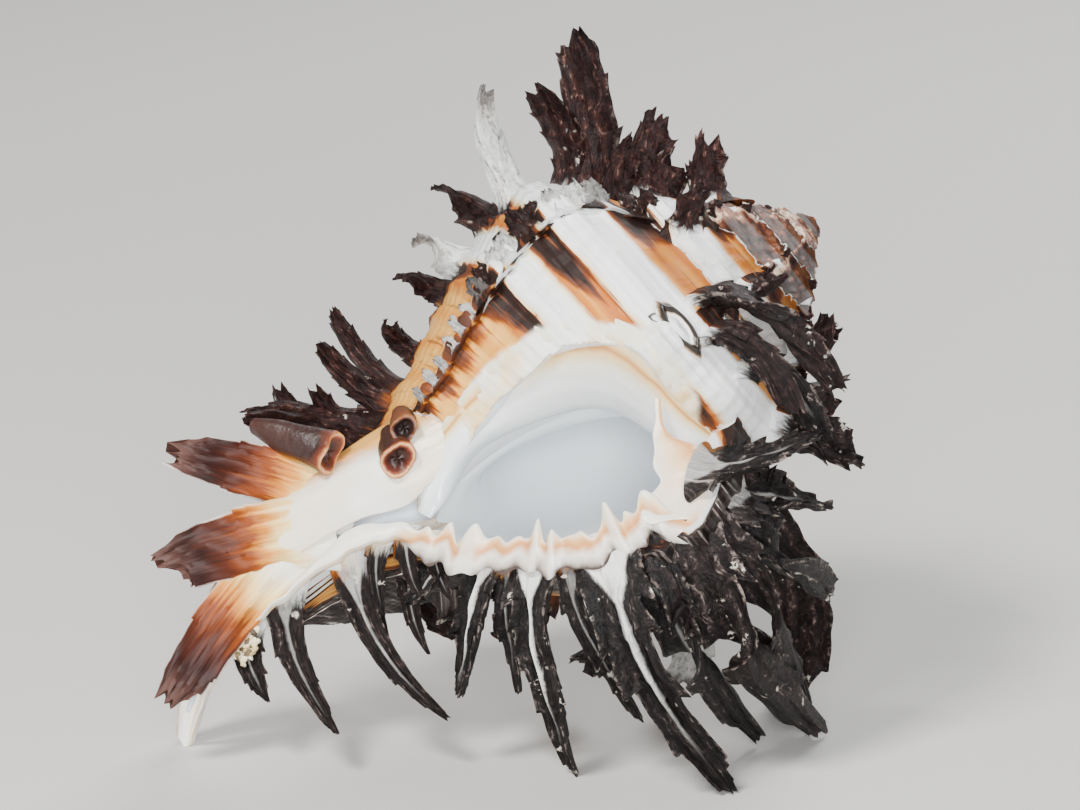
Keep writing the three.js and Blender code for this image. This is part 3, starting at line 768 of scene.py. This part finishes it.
def frond_group(name, rows, first_seed, age=0.93, **shape):
    """One frond for each row, joined as one piece and shaded smooth."""
    made = []
    for i, (az, drop, up, across, forward, width, thick, ink, tone, ridge) in enumerate(rows):
        base, out, growth = surface_frame(az, drop)
        marks = {"drop": drop, "turn": az / 360, "ink": ink, "tone": tone, "ridge": ridge, "age": age}
        tip = (across, -forward, up)
        calm = {**shape, "bite": shape["bite"] * (0.3 + 0.7 * ink)}
        radius = shoulder(az)
        made.append(frond(base, out, growth, tip, width, thick, radius, marks, first_seed + i, **calm))
    piece = joined(name, made)
    rounded(piece)
    return piece


leafy, tree, shader = material("frond")
use = node(tree, "ShaderNodeGroup", node_tree=bands)
place = here(tree)
reach, across, ink, tone = (kept(tree, mark) for mark in ("reach", "across", "ink", "tone"))
warp = maths(tree, "SUBTRACT", cloudy(tree, place, 300, 3), 0.5)
sideways = plus(tree, times(tree, across, 5.5), times(tree, warp, 5))
upwards = plus(tree, times(tree, reach, 4.5), times(tree, warp, 3))
streak = cloudy(tree, along_axes(tree, sideways, upwards, times(tree, kept(tree, "own"), 50)), 1.0, 5, 0.7)
speckle = cloudy(tree, place, 900, 3, 0.7)
grain = plus(tree, times(tree, streak, 0.65), times(tree, speckle, 0.35))
BROWN_GRAIN = [(0.36, (15, 8, 8)), (0.5, (34, 18, 17)), (0.58, (60, 35, 31)), (0.68, (140, 108, 98))]
COAL_GRAIN = [(0.36, (7, 6, 6)), (0.5, (20, 16, 16)), (0.58, (42, 35, 34)), (0.68, (132, 122, 116))]
WHITE_GRAIN = [
    (0.37, (112, 108, 102)), (0.44, (200, 199, 194)), (0.5, (238, 239, 235)), (0.8, (246, 246, 242)),
]
brown, coal, pale = (shades(tree, grain, stops) for stops in (BROWN_GRAIN, COAL_GRAIN, WHITE_GRAIN))
dark = mixed(tree, eased(tree, tone, 0, 1), brown, coal)
smoked = eased(tree, plus(tree, reach, swing(tree, streak, 0.5)), 0.8, 1.0)
leaf = mixed(tree, maths(tree, "MAXIMUM", ink, times(tree, smoked, 0.8)), pale, dark)
at_edge = eased(tree, maths(tree, "ABSOLUTE", across), 0.86, 1.0)
frayed = times(tree, at_edge, eased(tree, speckle, 0.5, 0.62), ink)
leaf = mixed(tree, times(tree, frayed, 0.4), leaf, paint(176, 160, 150))
cells = node(tree, "ShaderNodeTexVoronoi", {"Vector": place, "Scale": 520}).outputs["Distance"]
patchy = eased(tree, cloudy(tree, place, 240, 1), 0.56, 0.62)
chips = times(tree, eased(tree, cells, 0.34, 0.2), eased(tree, speckle, 0.5, 0.56), patchy, ink)
leaf = mixed(tree, times(tree, chips, 0.8), leaf, paint(222, 214, 200))
climbed = plus(tree, kept(tree, "root"), swing(tree, streak, 5))
colour = mixed(tree, eased(tree, climbed, 1.5, 3.8), use.outputs["Color"], leaf)
off_middle = maths(tree, "ABSOLUTE", plus(tree, across, swing(tree, streak, 0.25)))
off_keel = maths(tree, "SUBTRACT", off_middle, eased(tree, reach, 0.06, 0.32, 0.6, 0.0))
keel_line = times(tree, kept(tree, "ridge"), eased(tree, off_keel, 0.16, 0.02), eased(tree, reach, 0.95, 0.5))
colour = mixed(tree, keel_line, colour, paint(232, 231, 226))
duller = eased(tree, grain, 0.3, 0.7, 0.4, 0.6)
dressed(tree, shader, colour, duller, (grain, 0.9, 0.0008), (0.05, 0.001), 0.2)

shape = {"teeth": 7, "bite": 0.6, "cup": 0.7, "bow": 0.32, "flare": 0.7, "sharp": 0.3}
lip_fronds = frond_group("lip_fronds", LIP_FRONDS, first_seed=11, age=0.4, **shape)
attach(lip_fronds, "root")
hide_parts("shell")

# ---- Side fronds ----
# The varix down the left side, in outline from the spire to the canal. Its fronds are white and purple-brown
# by turns, as the bands they grew from, and show their rounded, corded backs.

SIDE_FRONDS = [
    [207, 1.45, -67.8, -21.6, 4, 5.5, 2.2, 1, 0, 0],
    [207, -0.16, -8.5, -36.5, -4, 7, 2.4, 1, 0, 0], [205, -0.12, -16.4, -33.3, 0, 5, 1.5, 1, 0, 0],
    [207, 0.13, -20.6, -36.7, -2, 4.2, 1.7, 0, 0, 0], [207, 0.29, -32.4, -30.1, -3, 4.4, 1.5, 1, 0, 0],
    [207, 0.54, -38, -26.5, -2, 4.5, 1.5, 0, 0, 0], [207, 0.69, -42.9, -24, -3, 3.4, 1.4, 1, 0, 0],
    [207, 1.01, -47.1, -20.6, -3, 3.0, 1.3, 1, 0, 0], [209, 1.2, -51.5, -26, -6, 3.0, 1.3, 1, 0, 0],
    [205, 1.3, -55.3, -23.4, -2, 3.4, 1.3, 1, 0, 0], [208, 1.5, -58.8, -19.5, -3, 3.2, 1.4, 1, 0, 0],
    [208, 1.65, -62.2, -22.4, -4, 3.8, 1.4, 1, 0.1, 0],
]
side_fronds = frond_group("side_fronds", SIDE_FRONDS, first_seed=31, teeth=3, bite=0.3, cup=0.75)
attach(side_fronds, "root")
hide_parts("shell")

# ---- Back fronds ----
# Two varices out of sight behind the mouth, one in the middle of the back and one just behind the lip. Their
# fronds are the shell's own growth, mostly dark, and one reaches down to the table.

BACK_FRONDS = [
    [345, 0, -35, 45.7, -25, 8, 2.4, 1, 0.6, 0], [345, 0.35, -45, 36, -20, 6, 1.6, 0.3, 0.3, 0],
    [345, 0.65, -53, 27, -20, 5, 1.6, 1, 0.6, 0], [345, 0.95, -58, 17, -17, 5, 1.6, 1, 0.4, 0],
    [345, 1.25, -64, 8, -18, 4.5, 1.6, 1, 0.4, 0], [278, 0.02, -21, -2, -43, 9, 2.0, 1, 0.2, 0],
    [278, 0.3, -33, -2, -37, 6.5, 1.6, 1, 0.2, 0], [278, 0.6, -45, -3, -33, 6, 1.6, 0.2, 0.2, 0],
    [278, 0.9, -54, -4, -28, 6, 1.6, 1, 0.2, 0], [278, 1.2, -61, -5, -23, 5, 1.6, 1, 0.2, 0],
]
back_fronds = frond_group("back_fronds", BACK_FRONDS, first_seed=51, teeth=4, bite=0.4, cup=0.7)
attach(back_fronds, "root")
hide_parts("shell")

# ---- Front fronds ----
# Short dark fronds between the spire and the top of the mouth, bent down over the lip side. They grew from
# the shoulder of the last whorl as thin hard leaves of shell.

FRONT_FRONDS = [
    [93, -0.2, -8.4, 18.3, 17, 5.5, 1.6, 1, 0.6, 0], [80, -0.1, -14, 18, 22, 4.5, 1.4, 1, 0.6, 0],
    [60, -0.14, -13.1, 21.6, 16, 4.5, 1.4, 1, 0.9, 0.4], [25, -0.05, -10, 26, 4, 6, 1.6, 1, 0.7, 0],
]
shape = {"teeth": 4, "bite": 0.4, "cup": 0.5, "flare": 0.35}
front_fronds = frond_group("front_fronds", FRONT_FRONDS, first_seed=71, **shape)
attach(front_fronds, "root")
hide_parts("shell")

# ---- Worn scales ----
# On the varix across the front of the body the fronds are worn down to short tongues lying on the shell, with
# dark streaked ends, and beside the callus to a row of small teeth.

# drop, width, length, ink
SCALES = [
    [-0.26, 3.2, 5, 1], [-0.13, 3.4, 5, 0.75], [-0.03, 3.6, 5.5, 0.3], [0.07, 3.2, 4.5, 0.4],
    [0.2, 3.6, 5, 1], [0.28, 3.4, 5.5, 1], [0.42, 3.0, 4.5, 0.35], [0.5, 2.8, 4, 0.3], [0.6, 3.2, 4.5, 1],
    [0.68, 2.6, 4, 0.9], [0.79, 1.7, 2.6, 0.3], [0.88, 1.7, 2.4, 0.4], [0.98, 1.6, 2.4, 0.3],
    [1.08, 1.6, 2.2, 0.5], [1.18, 1.5, 2.2, 0.4], [1.28, 1.5, 2.0, 0.6],
]
SCALE_VARIX, SCALE_THICKNESS = 145, 1.3
shape = {"bow": 0.25, "cup": -0.25, "teeth": 3, "bite": 0.3}
made = []
for i, (drop, width, length, ink) in enumerate(SCALES):
    base, out, growth = surface_frame(SCALE_VARIX, drop)
    tip = base + growth * length * 0.9 + out * (0.9 + 0.3 * (i % 3))
    marks = {"drop": drop, "turn": SCALE_VARIX / 360, "ink": ink, "tone": 0.3, "age": 0.9}
    made.append(frond(base + out * 0.1, unit(out + growth), out, tip, width, SCALE_THICKNESS,
                      shoulder(SCALE_VARIX), marks, seed=90 + i, **shape))
scales = joined("worn_scales", made)
rounded(scales)
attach(scales, "root")
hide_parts("shell")

# ---- Worn stubs ----
# Where a frond broke off long ago its root is left as a shallow spoon in the shell, white with a dark rim.
# There are two on the front of the last whorl, high up near the shoulder.

# azimuth, drop, half length, half width, turn of the long axis in degrees
STUBS = [[88, 0.0, 3.1, 1.15, 4], [95, 0.07, 0.8, 0.5, 40]]
# share of the way round the dish from its middle; radius as a share of the half size, height, and how dark
DISH = [
    [0, 0.02, 0.05, 0], [0.3, 0.6, 0.1, 0], [0.5, 0.86, 0.42, 1], [0.6, 0.95, 0.62, 1], [0.75, 1.1, 0.3, 0.8],
    [0.9, 1.25, -0.6, 0], [1.0, 0.1, -0.9, 0],
]


def stub(az, drop, half_length, half_width, turned):
    """A dish: rings of an ellipse that grow to the rim, which stands up, and shrink again underneath."""
    base, out, growth = surface_frame(az, drop)
    down = np.cross(out, growth)
    t = np.radians(turned)
    long_way, short_way = np.cos(t) * growth + np.sin(t) * down, np.cos(t) * down - np.sin(t) * growth
    rings = through(DISH, np.linspace(0, 1, 26))
    angle = np.linspace(0, 2 * np.pi, 40, endpoint=False)
    wobble = 1 + 0.08 * np.sin(3 * angle + az) + 0.04 * np.sin(7 * angle)
    oval = long_way * (half_length * wobble * np.cos(angle))[:, None]
    oval = oval + short_way * (half_width * np.sin(angle))[:, None]
    points = base + oval[None] * rings[:, 0, None, None] + out * rings[:, 1, None, None]
    return closed_surface("stub", points, {"reach": rings[:, 2:]}, spooned)


spooned, tree, shader = material("worn_stub")
rimmed = plus(tree, kept(tree, "reach"), swing(tree, cloudy(tree, here(tree), 500, 3), 0.7))
DISH_COLOURS = [(0.35, (240, 238, 230)), (0.55, (150, 120, 90)), (0.75, (34, 28, 24))]
dressed(tree, shader, shades(tree, rimmed, DISH_COLOURS), 0.35)
stubs = joined("worn_stubs", [stub(*row) for row in STUBS])
rounded(stubs, 70)
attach(stubs, "root")
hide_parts("shell")

# ---- Spire fronds ----
# Smaller fronds on the varices of the earlier whorls, shorter towards the tip of the spire. They are the
# oldest ones, purple-brown like those of the left side.

SPIRE_FRONDS = [
    [-155, 0.03, -4.8, -21.7, -6, 6.5, 1.8, 1, 0, 0], [-157, 0.2, -9.5, -21.5, -3, 5, 1.4, 1, 0, 0],
    [-159, -0.1, -7.2, -16.9, -4, 5, 1.4, 1, 0, 0], [-515, 0.03, -2, -16.3, -3, 5, 1.4, 1, 0, 0],
    [-40, -0.02, -6, 19, -22, 7, 1.8, 1, 0.2, 0], [-100, 0, -6, -6, -27, 7, 1.8, 1, 0.2, 0],
    [-340, 0, -3.6, 9.5, 8, 4, 1.2, 1, 0.4, 0], [-280, 0, -5, 3, 15.5, 4, 1.2, 1, 0.3, 0],
    [-230, 0, -6.5, -11, 14, 4, 1.2, 1, 0.2, 0], [-400, 0, -2.5, 12, -7, 4, 1.2, 1, 0.3, 0],
    [-460, 0, -2, -2, -14, 4, 1.2, 1, 0.2, 0],
]
for az in VARICES[(VARICES > -900) & (VARICES < -50)]:
    for drop, share in ((0.12, 0.2), (-0.2, 0.16), (0.3, 0.14)):
        base, out, growth = surface_frame(az, drop)
        tip = base + (out + 0.5 * growth) * share * shoulder(az)
        breadth = min(0.22 * shoulder(az), 2.6)
        SPIRE_FRONDS.append([az, drop, tip[2], tip[0], -tip[1], breadth, 0.3 * breadth, 1, 0.1, 0])
spire_fronds = frond_group("spire_fronds", SPIRE_FRONDS, first_seed=111, teeth=3, bite=0.35, cup=0.6)
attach(spire_fronds, "root")
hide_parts("shell")

# ---- Canal fronds ----
# Eight dark pointed ones on the right side of the canal, thrown out by its margin as it grew. Three long ones
# hang down and curve towards the mouth at their ends, five short ones fill the corner under the mouth.

# base: across, front, height; tip: the same; width, thickness, ridge
HANGING = [
    [(0.4, -4.5, -67.4), (22.6, -6, -68.5), 4.2, 1.7, 0.45],
    [(-1.5, -4, -75.5), (16.3, -8, -80.2), 4.6, 1.6, 0.3],
    [(-0.5, -2, -82.0), (8.4, -5, -84.8), 4.4, 1.4, 0.3],
    [(3.0, -3, -60.5), (15.0, -4, -66.0), 3.4, 1.3, 0.3],
    [(0.5, -3, -63.5), (12.0, -3, -69.5), 3.0, 1.2, 0.3],
    [(1.8, -7.5, -60.0), (9.5, -9.0, -62.5), 2.7, 1.2, 0.3],
    [(0.6, -7.0, -63.0), (8.0, -8.5, -67.5), 2.7, 1.2, 0.3],
    [(4.4, -8.5, -57.5), (11.5, -9.5, -60.0), 2.6, 1.1, 0.3],
]
# to the front; and the radius that stands for the shoulder's when the bands run on over a frond of the canal
FORWARDS, BAND_RADIUS = np.array([0.0, -1, 0]), 60.0


def canal_group(name, rows, lean, marks, first_seed, **shape):
    """One frond for each row, joined. It sets off towards its tip, leaning over by a share of its length."""
    made = []
    for i, (base, tip, width, thick, ridge) in enumerate(rows):
        base, tip = np.array(base, float), np.array(tip, float)
        out = unit(tip - base + np.array(lean) * np.linalg.norm(tip - base))
        made.append(frond(base, out, FORWARDS, tip, width, thick, BAND_RADIUS, {**marks, "ridge": ridge},
                          first_seed + i, **shape))
    return joined(name, made)


marks = {"drop": 0.165, "turn": 0.6, "ink": 1, "tone": 0.7, "age": 0.3}
shape = {"teeth": 4, "bite": 0.3, "cup": 0.5, "flare": 0.35, "bow": 0.5, "sharp": 0.72}
canal_fronds = canal_group("canal_fronds", HANGING, [0, 0, -0.5], marks, first_seed=131, **shape)
rounded(canal_fronds)
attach(canal_fronds, "root")
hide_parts("shell")

# ---- Canal blades ----
# Three broad blades spread from the canal's left side. Each goes from cream through orange and rust to purple
# brown, with a white frayed edge.

# base: across, front, height; tip: the same; width, thickness, ridge
BLADES = [
    [(-6.0, -5.0, -63.5), (-23.6, -3.0, -77.2), 7.2, 1.9, 0],
    [(-5.0, -5.5, -68.0), (-12.6, -6.0, -87.0), 9.0, 1.9, 0],
    [(-5.0, -5.0, -73.0), (1.6, -6.6, -95.4), 7.4, 1.8, 0],
]
bladed, tree, shader = material("canal_blade")
reach, across = kept(tree, "reach"), kept(tree, "across")
own = times(tree, kept(tree, "own"), 50)
streak = cloudy(tree, along_axes(tree, times(tree, across, 7), times(tree, reach, 2), own), 1.0, 4, 0.55)
waves = cloudy(tree, here(tree), 160, 4, 0.6)
climbed = plus(tree, plus(tree, reach, swing(tree, streak, 0.34)), swing(tree, waves, 0.16))
flame = shades(tree, climbed, [
    (0.12, (244, 240, 228)), (0.25, (242, 208, 136)), (0.36, (212, 136, 52)), (0.45, (134, 64, 22)),
    (0.57, (76, 33, 18)), (0.75, (42, 20, 17)), (0.97, (84, 58, 52)),
])
rim_share = plus(tree, maths(tree, "ABSOLUTE", across), swing(tree, waves, 0.24))
white_edge = times(tree, eased(tree, rim_share, 0.93, 1.0), eased(tree, reach, 0.2, 0.45), 0.8)
colour = mixed(tree, white_edge, flame, paint(226, 214, 204))
dressed(tree, shader, colour, 0.5, (streak, 0.35, 0.0005), (0.1, 0.0015), 0.2)

shape = {"teeth": 3, "bite": 0.14, "cup": -0.12, "flare": 0.15, "bow": 0.5, "finish": bladed}
blades = canal_group("canal_blades", BLADES, [-0.12, 0, 0], {}, first_seed=141, **shape)
rounded(blades, 60)
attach(blades, "root")
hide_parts("shell")

# ---- Spent canals ----
# The ends of older canals, left behind beside and below the callus as the shell grew: three short hollow
# brown tubes. Two have a rolled peach rim, the third is dull all over.

# from: across, front, height; to: the same; outer radius at each end; how pale the rim is
SPENT_CANALS = [
    [(-8.5, -4, -54.3), (-6.0, -11.0, -55.3), 2.7, 2.0, 0.9],
    [(-19.5, -3.0, -67.0), (-11.2, -7.8, -61.3), 1.8, 2.3, 1.0],
    [(-9.8, -5, -52.0), (-8.6, -10.5, -52.6), 2.1, 1.5, 0.1],
]
HOLLOW_DEPTH, TUBE_RINGS = 0.7, 44


def spent_canal(start, end, r_start, r_end, rimmed):
    """A tube that tapers from start to end, rolls over at its rim and goes back in as a hollow."""
    start, end = np.array(start, float), np.array(end, float)
    axis = unit(end - start)
    side = unit(np.cross(axis, [0.3, 0.2, 1.0]))
    length = np.linalg.norm(end - start)
    # along the axis as a share of the length, and radius as a share of the radius there
    floor = 1 - HOLLOW_DEPTH / length
    walk = np.array([
        [0, 0.6], [0.3, 0.9], [0.6, 0.97], [0.85, 1.0], [0.96, 1.08], [1.0, 1.04], [1.0, 0.9], [0.99, 0.78],
        [0.5 + 0.5 * floor, 0.62], [floor, 0.4], [floor - 0.01, 0.02],
    ])
    inner = np.linspace(0, 1, TUBE_RINGS)
    walk = through(np.column_stack([np.linspace(0, 1, len(walk)), walk]), inner)
    angle = np.linspace(0, 2 * np.pi, 36, endpoint=False)
    r = (r_start + (r_end - r_start) * walk[:, :1]) * walk[:, 1:]
    r = r * (1 + 0.08 * np.sin(2 * angle + 1 + 2 * walk[:, :1]) + 0.05 * np.sin(3 * angle + 5 * walk[:, :1]))
    r = r * (1 + 0.035 * np.sin(11 * walk[:, :1] + 2 * angle) + 0.015 * np.sin(13 * angle))
    ring = side * np.cos(angle)[:, None] + np.cross(axis, side) * np.sin(angle)[:, None]
    on_axis = walk[:, :1] * length + 0.25 * walk[:, :1] * np.sin(3 * angle)
    points = start + axis * on_axis[..., None] + ring * r[..., None]
    return closed_surface("spent_canal", points, {"inside": inner[:, None], "rimmed": rimmed}, tubed)


tubed, tree, shader = material("spent_canal")
cloud = cloudy(tree, here(tree), 260, 4, 0.6)
stage = plus(tree, kept(tree, "inside"), swing(tree, cloud, 0.36))
skin_tones = shades(tree, stage, [
    (0.05, (60, 34, 28)), (0.28, (40, 22, 19)), (0.42, (110, 52, 30)), (0.5, (190, 118, 66)),
    (0.57, (228, 176, 120)), (0.63, (156, 76, 42)), (0.72, (92, 38, 24)), (0.9, (44, 18, 13)),
])
DULL = [(0.1, (84, 48, 32)), (0.45, (146, 88, 48)), (0.58, (96, 50, 28)), (0.72, (26, 12, 9))]
colour = mixed(tree, kept(tree, "rimmed"), shades(tree, stage, DULL), skin_tones)
dressed(tree, shader, colour, 0.5, (cloud, 0.8, 0.0008))
spent = joined("spent_canals", [spent_canal(*row) for row in SPENT_CANALS])
rounded(spent, 70)
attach(spent, "root")
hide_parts("shell")

# ---- Sand crust ----
# A small patch of yellowish sand grains cemented by some other animal to the right margin of the canal. Each
# grain is a ball pulled out of round, of its own size and tint.

gritty, tree, shader = material("sand_crust")
tint = plus(tree, times(tree, kept(tree, "own"), 0.8), times(tree, cloudy(tree, here(tree), 1400, 3), 0.4))
SAND_COLOURS = [(0.2, (66, 50, 36)), (0.36, (150, 126, 84)), (0.6, (214, 196, 146)), (0.9, (240, 232, 206))]
dressed(tree, shader, shades(tree, tint, SAND_COLOURS), 0.7)
PATCH_MIDDLE = np.array([1.4, -4.6, -82.9])
PATCH_LONG, PATCH_SHORT = np.array([1.2, 0.5, -2.0]), np.array([0.9, -0.5, 0.6])


def sand_grain(middle, size, own):
    """A ball pulled out of round by two slow waves."""
    up = np.linspace(0.08, np.pi - 0.08, 9)[:, None]
    around = np.linspace(0, 2 * np.pi, 12, endpoint=False)[None]
    ball = np.stack([np.sin(up) * np.cos(around), np.sin(up) * np.sin(around), np.cos(up) + 0 * around], -1)
    ball = ball * (1 + 0.2 * np.sin(3 * around + 40 * own) * np.sin(2 * up + 9 * own))[..., None]
    return closed_surface("grain", middle + ball * size, {"own": own}, gritty)


rng = np.random.default_rng(7)
spots = rng.uniform(-1, 1, (60, 2))
spots = spots[np.hypot(*spots.T) < 1]
middles = PATCH_MIDDLE + spots[:, :1] * PATCH_LONG + spots[:, 1:] * PATCH_SHORT
middles = middles + rng.normal(0, 0.12, middles.shape)
crust = joined("sand_crust", [sand_grain(m, rng.uniform(0.2, 0.5, 3), rng.uniform(0, 1)) for m in middles])
rounded(crust, 70)
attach(crust, "root")
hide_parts("shell")
